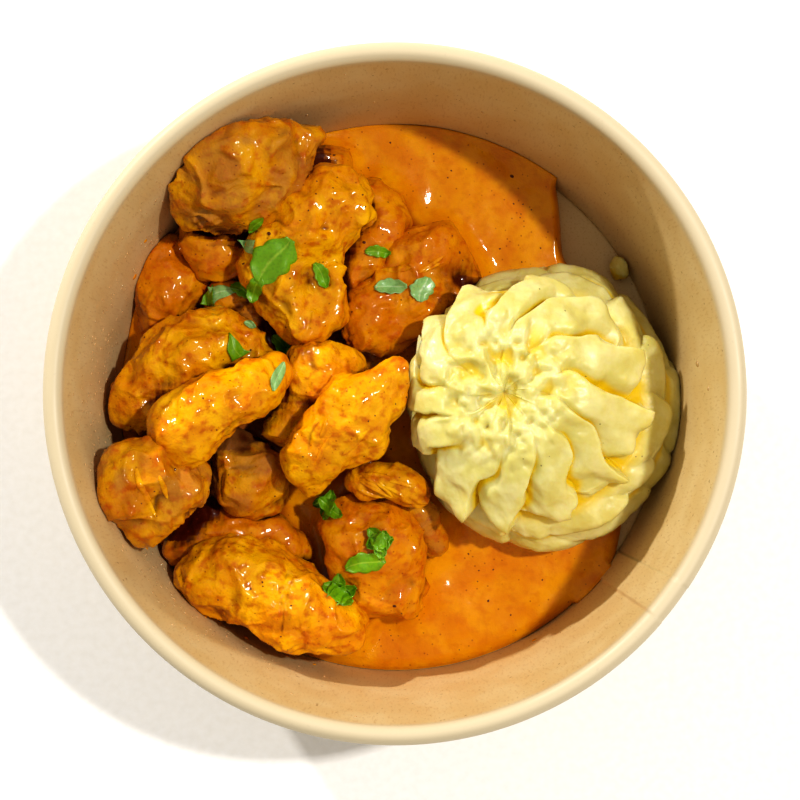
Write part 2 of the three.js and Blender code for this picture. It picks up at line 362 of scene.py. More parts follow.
class Pile:
    """How high the food stands around each place."""

    def __init__(self, ground: Ground, half: float = 66 * MM, cell: float = 1.5 * MM) -> None:
        """Samples the food's top on a square grid and spreads it sideways.

        Args:
            ground: The food.
            half: Half the grid's side.
            cell: Side of one cell.
        """
        self.start, self.cell = -half, cell
        line = np.arange(-half, half, cell)
        x, y = np.meshgrid(line, line, indexing="ij")
        self.top = blurred(ground.heights(x, y, 10 * MM), 5, 2.6)

    def sunk(self, places: np.ndarray) -> np.ndarray:
        """How far places lie below the food around them.

        Args:
            places: The places, three numbers each.

        Returns:
            One depth for each place.
        """
        index = np.clip(((places[:, :2] - self.start) / self.cell).astype(int), 0, len(self.top) - 1)
        return self.top[index[:, 0], index[:, 1]] - places[:, 2]


# ---- Finishes ------------------------------------------------------------------------------


def add_node(
    tree: bpy.types.NodeTree,
    kind: str,
    settings: dict[str, Any] | None = None,
    inputs: dict[str | int, Any] | None = None,
) -> bpy.types.ShaderNode:
    """Adds a shader node.

    Args:
        tree: The material's node tree.
        kind: The node's type name after "ShaderNode", such as "Mix".
        settings: Properties of the node.
        inputs: Input sockets by name or number, each with a value or a socket to link.

    Returns:
        The new node.
    """
    made = tree.nodes.new("ShaderNode" + kind)
    for key, value in (settings or {}).items():
        setattr(made, key, value)
    for key, value in (inputs or {}).items():
        if isinstance(value, Socket):
            tree.links.new(value, made.inputs[key])
        else:
            made.inputs[key].default_value = value
    return made


class Recipe:
    """A material while its colours are laid over each other."""

    def __init__(self, name: str, base: str) -> None:
        """Starts a material whose patterns are laid out in the object's own space.

        Args:
            name: The material's name.
            base: Its first colour.
        """
        self.material = bpy.data.materials.new(name)
        self.material.use_nodes = True
        self.tree = self.material.node_tree
        self.tree.nodes.clear()
        self.place = add_node(self.tree, "TexCoord").outputs["Object"]
        self.colour: Any = linear(base)

    def noise(self, size_mm: float, detail: float = 2.0, place: Socket | None = None) -> Socket:
        """Cloudy noise with clouds of a real size."""
        inputs = {"Vector": place or self.place, "Scale": 1 / (size_mm * MM), "Detail": detail}
        return add_node(self.tree, "TexNoise", inputs=inputs).outputs["Fac"]

    def dots(self, size_mm: float) -> Socket:
        """Distance from scattered points, which lie about a real size apart."""
        inputs = {"Vector": self.place, "Scale": 1 / (size_mm * MM), "Randomness": 1.0}
        return add_node(self.tree, "TexVoronoi", inputs=inputs).outputs["Distance"]

    def painted(self, name: str) -> Socket:
        """A value that the mesh's corners carry."""
        return add_node(self.tree, "Attribute", {"attribute_name": name}).outputs["Fac"]

    def band(self, value: Socket, span: Span, result: Span = (0.0, 1.0)) -> Socket:
        """Spreads a value from one span to another.

        Args:
            value: The value.
            span: Where the change starts and ends.
            result: What comes out below and above that.

        Returns:
            The result.
        """
        inputs = {"Value": value, "From Min": span[0], "From Max": span[1]}
        inputs |= {"To Min": result[0], "To Max": result[1]}
        settings = {"interpolation_type": "SMOOTHSTEP"}
        return add_node(self.tree, "MapRange", settings, inputs).outputs["Result"]

    def blend(self, colour: Rgba, share: Socket) -> None:
        """Mixes a colour over the ones before it."""
        inputs = {0: share, 6: self.colour, 7: colour}
        self.colour = add_node(self.tree, "Mix", {"data_type": "RGBA"}, inputs).outputs[2]

    def lay(self, colour: str, value: Socket, span: Span, result: Span = (0.0, 1.0)) -> None:
        """Mixes a colour over the ones before it where a value is high."""
        self.blend(linear(colour), self.band(value, span, result))

    def bump(self, height: Socket, strength: float, depth_mm: float) -> Socket:
        """A normal raised by a pattern."""
        inputs = {"Height": height, "Strength": strength, "Distance": depth_mm * MM}
        return add_node(self.tree, "Bump", inputs=inputs).outputs[0]

    def finished(self, **inputs: Any) -> bpy.types.Material:
        """Ends the material with one physical surface.

        Args:
            inputs: The surface's inputs, with _ for each space in their names.

        Returns:
            The material.
        """
        named = {key.replace("_", " "): value for key, value in inputs.items()}
        shader = add_node(self.tree, "BsdfPrincipled", inputs={"Base Color": self.colour, **named})
        add_node(self.tree, "OutputMaterial", inputs={"Surface": shader.outputs[0]})
        return self.material


@dataclass(frozen=True)
class KraftBoard:
    """Unbleached kraft board, calendered and coated inside with a thin clear film.

    To the eye: warm tan with paler clouds and darker long fibres, tiny dark flecks and a soft film
    gloss, with a painted highlight that makes the rolled rim paler. The fibres are coarser than
    real so as to show.
    """

    name: str = "kraft_board"
    board: str = "D5BC8B"
    pale: str = "D9C395"
    deep: str = "B38E58"
    fleck: str = "7A5428"
    # painted highlight: paler colour on the rolled rim, which faces up into the light
    rim_highlight: str = "D0C2A4"
    fibre_mm: float = 0.5
    fleck_mm: float = 1.1
    cloud_mm: float = 9.0
    rim_highlight_span: Span = (56 * MM, 59 * MM)

    def build(self) -> bpy.types.Material:
        """Makes the material.

        Returns:
            The finish, ready for a mesh.
        """
        mix = Recipe(self.name, self.board)
        upright = add_node(mix.tree, "Mapping", inputs={"Vector": mix.place, "Scale": (1.0, 1.0, 0.22)})
        fibres = mix.noise(self.fibre_mm, 3.0, upright.outputs[0])
        clouds = mix.noise(self.cloud_mm, 4.0)
        height = add_node(mix.tree, "SeparateXYZ", inputs={"Vector": mix.place}).outputs["Z"]
        mix.lay(self.pale, clouds, (0.35, 0.68))
        mix.lay(self.deep, fibres, (0.5, 0.8), (0.0, 0.45))
        mix.lay(self.fleck, mix.noise(self.fleck_mm, 1.0), (0.73, 0.78), (0.0, 0.55))
        # painted highlight: the rim is made paler by height, as if lit from above
        mix.lay(self.rim_highlight, height, self.rim_highlight_span, (0.0, 0.9))
        return mix.finished(
            Roughness=mix.band(clouds, (0.3, 0.7), (0.5, 0.62)),
            Normal=mix.bump(fibres, 0.16, 0.1),
            Coat_Weight=0.12,
            Coat_Roughness=0.32,
        )


@dataclass(frozen=True)
class CurryCoat:
    """Cream and tomato curry sauce clinging to braised meat, wet from the pot.

    To the eye: saturated orange, yellower in broad random clouds, with ground-spice specks and
    small hard glints on a wet skin. The fold colour is painted shade in creases and gaps, partly
    the red-brown of sauce pooled there.
    """

    name: str
    thin: str = "ECB206"
    coat: str = "DC9204"
    thick: str = "B85402"
    # painted shade: darkest colour, laid where the mesh's fold value marks creases and gaps
    fold: str = "5C1C00"
    speck: str = "8A3604"
    bare: str = "A8743A"
    bare_share: float = 0.0
    relief_mm: float = 0.28
    wetness: float = 0.7
    mottle: float = 0.7

    def build(self) -> bpy.types.Material:
        """Makes the material.

        Returns:
            The finish, ready for a mesh.
        """
        mix = Recipe(self.name, self.coat)
        lumps, grains = mix.noise(2.2, 4.0), mix.noise(0.55, 3.0)
        mix.lay(self.thin, mix.noise(7.0, 3.0), (0.36, 0.66))
        mix.lay(self.thick, lumps, (0.46, 0.72), (0.0, self.mottle))
        # painted shade, partly pooled sauce: the fold colour goes where the mesh marks creases and gaps
        mix.lay(self.fold, mix.painted("fold"), (0.15, 1.0))
        mix.lay(self.bare, mix.painted("bare"), (0.35, 0.75), (0.0, self.bare_share))
        mix.lay(self.speck, mix.dots(1.9), (0.05, 0.16), (0.6, 0.0))
        both = add_node(mix.tree, "Math", {"operation": "MULTIPLY_ADD"}, {0: lumps, 1: 1.6, 2: grains})
        return mix.finished(
            Roughness=mix.band(lumps, (0.3, 0.7), (0.34, 0.55)),
            Specular_IOR_Level=0.06,
            Normal=mix.bump(both.outputs[0], 0.55, self.relief_mm),
            Subsurface_Weight=0.05,
            Subsurface_Radius=(1.0, 0.55, 0.1),
            Subsurface_Scale=1.2 * MM,
            Coat_Weight=self.wetness,
            Coat_Roughness=0.09,
            Coat_IOR=1.4,
            Coat_Normal=mix.bump(lumps, 0.7, 0.9 * self.relief_mm),
        )


@dataclass(frozen=True)
class MashedPotato:
    """Buttered potato, boiled, mashed with milk and piped.

    To the eye: pale cream that lets a little light in, with a fine grain and a soft moist sheen.
    Butter yellow is laid deep in the folds and under the piped lips: partly butter pooled there,
    partly painted shade.
    """

    name: str = "buttered_mash"
    cream: str = "D5CC7E"
    pale: str = "E0DA9C"
    # partly butter, partly painted shade: yellow laid in the hollows and under the lips
    butter_and_shade: str = "E6C800"
    speck: str = "6B5A33"

    def build(self) -> bpy.types.Material:
        """Makes the material.

        Returns:
            The finish, ready for a mesh.
        """
        mix = Recipe(self.name, self.cream)
        grains = mix.noise(0.9, 4.0)
        mix.lay(self.pale, mix.noise(6.0, 4.0), (0.38, 0.66))
        # butter and painted shade in the hollows that the mesh's fold value marks
        mix.lay(self.butter_and_shade, mix.painted("fold"), (0.15, 0.8), (0.0, 0.95))
        mix.lay(self.speck, mix.dots(5.0), (0.03, 0.05), (0.7, 0.0))
        return mix.finished(
            Roughness=mix.band(grains, (0.3, 0.7), (0.36, 0.5)),
            Normal=mix.bump(grains, 0.35, 0.25),
            Subsurface_Weight=0.6,
            Subsurface_Radius=(1.0, 0.8, 0.35),
            Subsurface_Scale=4.0 * MM,
            Coat_Weight=0.15,
            Coat_Roughness=0.25,
        )


@dataclass(frozen=True)
class FreshHerb:
    """Chopped coriander leaf, raw, cut with a knife.

    To the eye: leaf green with paler veins and edges, a waxy half gloss, greyer on the back.
    """

    name: str
    blade: str
    vein: str
    shade: str = "28560E"

    def build(self) -> bpy.types.Material:
        """Makes the material.

        Returns:
            The finish, ready for a mesh.
        """
        mix = Recipe(self.name, self.blade)
        mottle = mix.noise(0.8, 3.0)
        mix.lay(self.vein, mix.painted("vein"), (0.35, 1.0), (0.0, 0.7))
        mix.lay(self.shade, mottle, (0.45, 0.7), (0.0, 0.25))
        return mix.finished(
            Roughness=mix.band(mottle, (0.3, 0.7), (0.34, 0.5)),
            Normal=mix.bump(mottle, 0.3, 0.1),
            Subsurface_Weight=0.1,
            Subsurface_Scale=0.5 * MM,
            Coat_Weight=0.2,
            Coat_Roughness=0.2,
        )


@dataclass(frozen=True)
class Bead:
    """Drops of water on the board, or dry flakes of ground spice.

    To the eye: clear beads that take the board's tan, with a glint, or dark matt flakes.
    """

    name: str
    colour: str
    roughness: float
    gloss: float

    def build(self) -> bpy.types.Material:
        """Makes the material.

        Returns:
            The finish, ready for a mesh.
        """
        mix = Recipe(self.name, self.colour)
        red, green, blue = (min(1.0, channel * 1.35) for channel in linear(self.colour)[:3])
        mix.blend((red, green, blue, 1.0), mix.band(mix.noise(1.5), (0.4, 0.65)))
        return mix.finished(Roughness=self.roughness, Coat_Weight=self.gloss, Coat_Roughness=0.06)


@dataclass(frozen=True)
class StudioPaper:
    """Matt white background paper, rolled and uncoated.

    To the eye: an even white with a faint tooth.
    """

    name: str = "studio_paper"
    white: str = "F4F3F0"
    tooth: str = "FFFFFF"

    def build(self) -> bpy.types.Material:
        """Makes the material.

        Returns:
            The finish, ready for a mesh.
        """
        mix = Recipe(self.name, self.white)
        mix.blend(linear(self.tooth), mix.noise(2.0))
        return mix.finished(Roughness=0.9)


# ---- Bowl ----------------------------------------------------------------------------------


@dataclass
class PaperBowl:
    """The bowl: one rolled, hemmed cone of board glued round a recessed base disc.

    Attributes:
        paper: Thickness of the board.
        curl_radius: Outer radius of the rolled rim.
        curl_sweep: How far the rim is rolled, in degrees.
        hem_height: Height of the wall's edge folded up inside the foot.
        gap: Room between the layers of board.
        around: Even steps round the bowl.
        seam_angle: Where the wall's overlap starts, in degrees from +X.
        seam_width: How far the overlap reaches, in degrees.
        seam_step: How far it stands inwards.
        foot_inner: Inner radius of the wall at the foot.
        flange_foot: Height of the base flange's lower edge.
        slope: How much wider the wall gets with height.
    """

    paper: float = 0.5 * MM
    curl_radius: float = 2.1 * MM
    curl_sweep: float = 315.0
    hem_height: float = 5.2 * MM
    gap: float = 0.3 * MM
    around: int = 360
    seam_angle: float = -41.0
    seam_width: float = 7.0
    seam_step: float = 0.4 * MM
    foot_inner: float = 63.5 * MM
    flange_foot: float = 1.1 * MM
    slope: float = 0.1261

    def __post_init__(self) -> None:
        """Reads the bowl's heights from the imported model."""
        self.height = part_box("bowl_side")[1][2]
        self.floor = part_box("bowl_base")[1][2]

    def wall(self, z: float | np.ndarray) -> float | np.ndarray:
        """Inner radius of the wall at a height."""
        return self.foot_inner + self.slope * z

    def turned(self, profile: np.ndarray, seam: bool) -> Surface:
        """Turns a closed radius and height profile round the bowl's axis.

        Args:
            profile: The profile's points, anticlockwise.
            seam: Whether the sheet's overlap shows as a step.

        Returns:
            The closed surface.
        """
        edges = np.array([0, 0, self.seam_width, self.seam_width]) + [-0.04, 0.04, -0.04, 0.04]
        even = np.arange(self.around) * 360 / self.around + 0.5
        angles = np.sort(np.append(even, (self.seam_angle + edges) % 360))
        past = (angles - self.seam_angle) % 360
        step = np.where((past < self.seam_width) & seam, self.seam_step, 0.0)
        angles = np.radians(angles)
        around = len(angles)
        rings = []
        for radius, z in profile:
            reach = radius - step * (1 - 0.75 * smoothstep(50 * MM, 56 * MM, z))
            rings.append(np.stack([reach * np.cos(angles), reach * np.sin(angles), z + 0 * angles], 1))
        faces = ring_faces(len(profile), around)
        last = (len(profile) - 1) * around
        for i in range(around):
            j = (i + 1) % around
            faces.append((last + i, i, j, last + j))
        return Surface(np.vstack(rings), faces)

    def side(self) -> Surface:
        """The wall with its hem, folded foot and rolled rim.

        Returns:
            The closed surface.
        """
        half = self.paper / 2
        fold = 2 * self.gap + 2 * self.paper
        foot = self.wall(0) + half
        centre = self.height - self.curl_radius
        path = [(foot - fold, self.hem_height), (foot - fold, 1.2 * half)]
        path += [(foot - fold + 0.3 * half, half), (foot - 0.3 * half, half), (foot, 1.2 * half)]
        path += [(self.wall(z) + half, z) for z in np.linspace(4 * MM, centre - 3 * MM, 12)]
        curl, middle = self.curl_radius - half, self.wall(centre) + self.curl_radius
        for turn in np.radians(np.linspace(180, 180 - self.curl_sweep, 28)):
            path.append((middle + curl * math.cos(turn), centre + curl * math.sin(turn)))
        line = np.array(path)
        ahead = np.gradient(line, axis=0)
        ahead /= np.linalg.norm(ahead, axis=1)[:, None]
        out = np.stack([ahead[:, 1], -ahead[:, 0]], 1) * half
        profile = np.vstack([line + out, (line - out)[::-1]])
        return self.turned(profile[::-1], True)

    def base(self) -> Surface:
        """The base disc with its turned-down flange.

        Returns:
            The closed surface.
        """
        top, bottom = self.floor, self.flange_foot
        edge = self.wall(top)
        inner, corner = 0.2 * MM, 0.9 * MM
        flange = self.wall(bottom) - self.gap
        points = [(inner, top)]
        points += [(edge * share, top) for share in (0.25, 0.5, 0.75, 0.9)]
        for turn in np.radians(np.linspace(90, 0, 6)):
            out, up = corner * (math.cos(turn) - 1), corner * (math.sin(turn) - 1)
            points.append((edge + out, top + up))
        points += [(flange, bottom), (flange - self.paper, bottom)]
        points += [(flange - self.paper, top - self.paper), (inner, top - self.paper)]
        return self.turned(np.array(points), False)

    def build(self) -> None:
        """Makes and dresses both pieces."""
        board = KraftBoard().build()
        hand_over(add_object("paper_wall", self.side(), board), "kraft_paper", "bowl_side")
        hand_over(add_object("paper_base", self.base(), board), "kraft_paper", "bowl_base")


# ---- Chicken -------------------------------------------------------------------------------


class Coat(Enum):
    """How the sauce sits on a chunk; one coat is a darker copy that paints shade on chunks in shadow.
    """

    BRIGHT = "bright"
    # painted shade: the darker coat for chunks that lie in shadow
    SHADED = "brown"
    SUNK = "sunk"


COATS: dict[Coat, CurryCoat] = {
    Coat.BRIGHT: CurryCoat("curry_coat_thin"),
    # painted shade: a darker copy of the coat for chunks in shadow; its bare patches are the meat's own
    Coat.SHADED: CurryCoat(
        "curry_coat_shaded", thin="DCA00C", coat="C88208", fold="4E1E02", bare_share=0.5
    ),
    Coat.SUNK: CurryCoat(
        "curry_coat_thick", thin="DE9804", coat="D07E04", fold="501800", relief_mm=0.2, wetness=0.85
    ),
}


@dataclass(frozen=True)
class Chunk:
    """One piece of thigh meat, refined from its solid.

    Attributes:
        node: The solid that it stands for.
        coat: How the sauce sits on it; the darker coat is painted shade for a chunk in shadow.
        knobs: Height of its lumps.
        grain: Direction of its meat fibres, in degrees from +X.
        fibres: Depth of the grooves between fibres.
        swell: How far its skin stands off the solid, which closes the gaps.
        voxel: Size of the cells that its mesh is cut into.
    """

    node: str
    coat: Coat = Coat.BRIGHT
    knobs: float = 1.0 * MM
    grain: float = 40.0
    fibres: float = 0.2 * MM
    swell: float = 0.5 * MM
    voxel: float = 0.75 * MM

    def refined(self, solid: bpy.types.Object) -> bpy.types.Mesh:
        """Rounds and finely divides a copy of the solid's mesh.

        Args:
            solid: The solid's object.

        Returns:
            The new mesh.
        """
        copy = bpy.data.objects.new(self.node + "_draft", solid.data.copy())
        bpy.context.collection.objects.link(copy)
        remesh = copy.modifiers.new("voxels", "REMESH")
        remesh.mode = "VOXEL"
        remesh.voxel_size = self.voxel
        soften = copy.modifiers.new("soften", "SMOOTH")
        soften.factor = 0.6
        soften.iterations = 9
        finer = copy.modifiers.new("finer", "SUBSURF")
        finer.levels = 1
        finer.render_levels = 1
        seen = copy.evaluated_get(bpy.context.evaluated_depsgraph_get())
        shape = bpy.data.meshes.new_from_object(seen)
        bpy.data.objects.remove(copy)
        return shape

    def build(
        self, solid: bpy.types.Object, seed: int, bowl: PaperBowl, pile: Pile,
        skin: bpy.types.Material,
    ) -> bpy.types.Object:
        """Makes the chunk.

        Args:
            solid: The solid's object.
            seed: Seed for its lumps.
            bowl: The bowl it must stay inside.
            pile: How high the food stands around it.
            skin: Its material.

        Returns:
            The finished piece.
        """
        mesh = self.refined(solid)
        places, normals = triples(mesh.vertices, "co"), triples(mesh.vertex_normals, "vector")
        noise = LatticeNoise(seed)
        turn = math.radians(self.grain)
        x, y, z = places.T
        along = [x * math.cos(turn) + y * math.sin(turn), y * math.cos(turn) - x * math.sin(turn), z]
        warp = np.stack([noise.at(places + shift, 6 * MM) for shift in (0.41, 0.43, 0.47)], 1)
        bent = places + 2.2 * MM * warp
        lumps = noise.layered(bent, 9 * MM, 2)
        knuckles = (1 - np.abs(noise.at(bent + 0.05, 5.5 * MM))) ** 3
        crags = (1 - np.abs(noise.at(bent + 0.09, 2.6 * MM))) ** 3
        torn = smoothstep(0.0, 0.45, noise.at(places + 0.13, 8 * MM))
        crease = np.clip(1 - np.abs(noise.at(bent + 0.03, 9 * MM)) * 6, 0, 1) ** 1.5 * torn
        strands = np.stack(along, 1) + 1.2 * MM * warp
        threads = noise.at(strands, (7 * MM, 0.9 * MM, 0.9 * MM)) * (0.3 + torn)
        pits = noise.layered(bent + 0.11, 1.3 * MM, 2)
        rise = self.swell + self.knobs * (1.5 * lumps + 0.9 * (knuckles - 0.4) - 0.45 * crease)
        rise += 0.3 * self.knobs * (crags - 0.4) * (0.4 + torn)
        dips = noise.layered(bent + 0.21, 3.1 * MM, 2)
        rise += 0.38 * MM * dips + self.fibres * threads + 0.1 * MM * pits
        places = places + normals * rise[:, None]
        reach = np.hypot(places[:, 0], places[:, 1])
        limit = bowl.wall(places[:, 2]) - 0.15 * MM
        pull = np.minimum(1, limit / np.maximum(reach, 1e-6))
        places[:, :2] *= pull[:, None]
        places[:, 2] = np.maximum(places[:, 2], bowl.floor + 0.2 * MM)
        mesh.vertices.foreach_set("co", places.ravel())
        # painted shade, partly pooled sauce: fold darkens creases, hollows between lumps, dips and
        # places lying below the food around them
        fold = np.clip(0.5 * crease - 0.45 * lumps - 0.4 * (knuckles - 0.35), 0, 0.6)
        fold += 0.4 * np.clip(-dips - 0.1, 0, 1)
        fold = np.clip(fold + 0.95 * smoothstep(0.0, 7.0 * MM, pile.sunk(places)), 0, 1)
        bare = 0.5 + 0.5 * noise.layered(places + 0.2, 5 * MM, 2)
        piece = dressed(self.node + "_meat", mesh, {"fold": fold, "bare": bare}, skin)
        hand_over(piece, "sauced_chicken", self.node)
        return piece


# chunks given the darker coat are painted as lying in shade
CHUNKS: list[Chunk] = [
    Chunk("chicken_winged", Coat.BRIGHT, 0.8 * MM, 50),
    Chunk("chicken_strip", Coat.BRIGHT, 0.8 * MM, 35),
    Chunk("chicken_wall_left", Coat.SHADED, 1.5 * MM, 120, 0.3 * MM),
    Chunk("chicken_wall_top", Coat.SHADED, 1.6 * MM, 20, 0.25 * MM),
    Chunk("chicken_shred", Coat.BRIGHT, 0.3 * MM, -25, 0.5 * MM, 0.6 * MM, 0.5 * MM),
    Chunk("chicken_upper_middle", Coat.BRIGHT, 1.1 * MM, 55),
    Chunk("chicken_middle", Coat.BRIGHT, 0.9 * MM, 80),
    Chunk("chicken_left", Coat.BRIGHT, 1.2 * MM, 40),
    Chunk("chicken_bottom_long", Coat.BRIGHT, 1.1 * MM, -28),
    Chunk("chicken_lower_middle", Coat.SUNK, 1.2 * MM, -60),
    Chunk("chicken_right_flat", Coat.SUNK, 1.1 * MM, 30),
    Chunk("chicken_shaded", Coat.SHADED, 0.9 * MM, 10),
    Chunk("chicken_ridge", Coat.SUNK, 0.8 * MM, 70, swell=0.9 * MM),
    Chunk("chicken_between", Coat.SUNK, 0.8 * MM, 130, swell=0.9 * MM),
    Chunk("chicken_sunk", Coat.SUNK, 0.8 * MM, 0, swell=0.8 * MM),
    Chunk("chicken_dark_right", Coat.SHADED, 0.5 * MM, -60),
    Chunk("chicken_under_top", Coat.SUNK, 0.8 * MM, 90),
    Chunk("chicken_behind_top", Coat.SUNK, 0.7 * MM, 10, swell=0.9 * MM),
    Chunk("chicken_far_left", Coat.SUNK, 0.9 * MM, 80),
]


# ---- Sauce ---------------------------------------------------------------------------------


@dataclass
class SaucePool:
    """The sauce that the chunks lie in: deep against the upper wall, thin at its free edge.

    Attributes:
        bowl: The bowl it lies in.
        level: Height of its surface on the bowl's axis.
        tilt: How much that rises towards +Y, in degrees.
        around: Steps round the pool.
        rings: Steps from its edge to its middle.
        cell: Grid step for finding where it climbs.
        finish: Its skin.
    """

    bowl: PaperBowl
    level: float = 11.4 * MM
    tilt: float = 2.4
    around: int = 480
    rings: int = 120
    cell: float = 0.8 * MM
    finish: CurryCoat = CurryCoat(
        # fold: random darker sauce, and painted shade where the sauce climbs round the chunks
        "curry_pool", thin="E49E02", coat="DA8A02", fold="8A3600", relief_mm=0.12, wetness=0.6,
        mottle=0.25,
    )

    def depth_at(self, y: np.ndarray) -> np.ndarray:
        """Height of the calm surface."""
        return self.level + y * math.tan(math.radians(self.tilt))

    def wall_at(self, angles: np.ndarray) -> np.ndarray:
        """The wall's inner radius where the calm surface meets it."""
        return self.bowl.wall(self.depth_at(np.sin(angles) * 64 * MM))

    def free_edge(self, angles: np.ndarray) -> np.ndarray:
        """How far the pool reaches from the bowl's axis.

        Args:
            angles: Directions, in radians from +X.

        Returns:
            One radius for each direction.
        """
        turns = [(-43, 66.0), (-34, 63.4), (-28, 61.0), (-18, 56.5), (0, 51.5), (25, 51.5)]
        turns += [(38, 53.0), (43, 54.8), (48, 59.0), (52, 62.8), (56, 67.0)]
        edge = rounded_path(turns, 200)
        turned = (np.degrees(angles) + 180) % 360 - 180
        reach = np.interp(turned, edge[:, 0], edge[:, 1] * MM, left=1.0, right=1.0)
        wander = LatticeNoise(31).layered(np.stack([turned, turned * 0, turned * 0], 1), 9.0, 2)
        reach = reach + 0.5 * MM * wander
        wall = self.wall_at(angles)
        thin_wall = np.where(np.sin(angles) < -0.75, wall - 0.5 * MM, wall - 0.05 * MM)
        return np.minimum(reach, thin_wall)

    def climb(self, ground: Ground) -> tuple[np.ndarray, np.ndarray]:
        """How far the sauce climbs round the chunks, on a square grid.

        Args:
            ground: The chunks.

        Returns:
            The grid's places along one side, and the climb at each of its points.
        """
        half = 68 * MM
        line = np.arange(-half, half, self.cell)
        x, y = np.meshgrid(line, line, indexing="ij")
        calm = self.depth_at(y)
        above = np.clip(ground.heights(x, y, 0.0) - calm, 0, 6.5 * MM)
        return line, blurred(above, int(round(6 * MM / self.cell)), 2.3 * MM / self.cell)

    def build(self, ground: Ground) -> bpy.types.Object:
        """Makes the pool round the chunks.

        Args:
            ground: The chunks.

        Returns:
            The finished piece.
        """
        line, above = self.climb(ground)
        angles = np.arange(self.around) * 2 * math.pi / self.around
        edge = self.free_edge(angles)
        shares = np.linspace(1, 0.004, self.rings) ** 0.8
        reach = shares[:, None] * edge[None, :]
        x, y = reach * np.cos(angles), reach * np.sin(angles)
        column = np.clip((x - line[0]) / self.cell, 0, len(line) - 1.001)
        row = np.clip((y - line[0]) / self.cell, 0, len(line) - 1.001)
        i, j = column.astype(int), row.astype(int)
        u, v = column - i, row - j
        lift = (above[i, j] * (1 - u) + above[i + 1, j] * u) * (1 - v)
        lift += (above[i, j + 1] * (1 - u) + above[i + 1, j + 1] * u) * v
        noise = LatticeNoise(77)
        flat = np.stack([x.ravel(), y.ravel(), np.zeros(x.size)], 1)
        ripple = noise.layered(flat, 11 * MM, 3).reshape(x.shape)
        fine = noise.layered(flat + 0.17, 2.6 * MM, 2).reshape(x.shape)
        height = self.depth_at(y) + 0.85 * lift + 0.55 * MM * ripple + 0.07 * MM * fine
        inland = edge[None, :] - reach
        on_wall = edge >= self.wall_at(angles) - 0.1 * MM
        bead = np.sqrt(np.clip(1 - (1 - np.clip(inland / (3.2 * MM), 0, 1)) ** 2, 0, 1))
        floor = self.bowl.floor + 0.05 * MM
        clinging = height + 0.7 * MM * np.exp(-inland / (0.8 * MM))
        height = np.where(on_wall[None, :], clinging, floor + (height - floor) * bead)
        top = np.stack([x, y, height], 2).reshape(-1, 3)
        foot = np.minimum(edge, self.bowl.wall(floor) - 0.1 * MM)
        rim = np.stack([foot * np.cos(angles), foot * np.sin(angles), floor + 0 * foot], 1)
        corners = np.vstack([rim, top])
        faces = [tuple(reversed(face)) for face in ring_faces(self.rings + 1, self.around)]
        hub = len(corners)
        corners = np.vstack([corners, [[0, 0, height[-1].mean()], [0, 0, floor]]])
        last = self.rings * self.around
        for a in range(self.around):
            b = (a + 1) % self.around
            faces.append((last + a, last + b, hub))
            faces.append((b, a, hub + 1))
        # random darker patches are the sauce's own; painted shade darkens the sauce where it climbs
        # round the chunks; the foot ring gets a fixed share
        fold = np.clip((noise.layered(flat + 0.3, 16 * MM, 2) - 0.25) * 0.5, 0, 0.35)
        fold = fold + 0.75 * smoothstep(1.5 * MM, 5.5 * MM, lift.ravel())
        fold = np.concatenate([np.full(self.around, 0.4), fold, [0.2, 0.2]])
        surface = Surface(corners, faces, {"fold": fold, "bare": np.zeros(len(corners))})
        piece = add_object("curry_sauce", surface, self.finish.build())
        hand_over(piece, "curry_sauce", "sauce")
        return piece


# ---- Mashed potato -------------------------------------------------------------------------


@dataclass(frozen=True)
class PetalRing:
    """One ring of petals.

    Attributes:
        count: Petals in the ring.
        twist: How far they sweep clockwise from the middle out, in radians.
        hook: How much further their outer half turns.
        offset: Angle of the first one, in radians.
        crest: Where across a petal its sharp edge lies, from 0 to 1.
        spread: How unequal the petals are.
    """

    count: int
    twist: float
    hook: float
    offset: float
    crest: float
    spread: float

    def faces(
        self, theta: np.ndarray, outward: np.ndarray, wander: np.ndarray, rng: np.random.Generator
    ) -> tuple[np.ndarray, np.ndarray, np.ndarray]:
        """Where each place lies on its petal.

        Args:
            theta: Angle round the rosette.
            outward: Share of the way from the middle to the petals' tips.
            wander: Noise that bends the petals.
            rng: Source of the petals' sizes.

        Returns:
            Height across the petal, place across it, and the petal's size.
        """
        turn = theta + self.twist * outward + self.hook * outward**2 + self.offset + wander
        phase = turn * self.count / (2 * math.pi)
        size = rng.uniform(1 - self.spread, 1 + self.spread, self.count)
        size = size[np.floor(phase).astype(int) % self.count]
        phase = phase - np.floor(phase)
        notch = 0.12 + 0.34 * outward**2
        rising = 1 - (1 - np.clip(phase / notch, 0, 1)) ** 2
        falling = np.clip((1 - phase) / (1 - self.crest), 0, 1) ** 0.6
        return np.where(phase < self.crest, rising, np.minimum(rising, falling)), phase, size


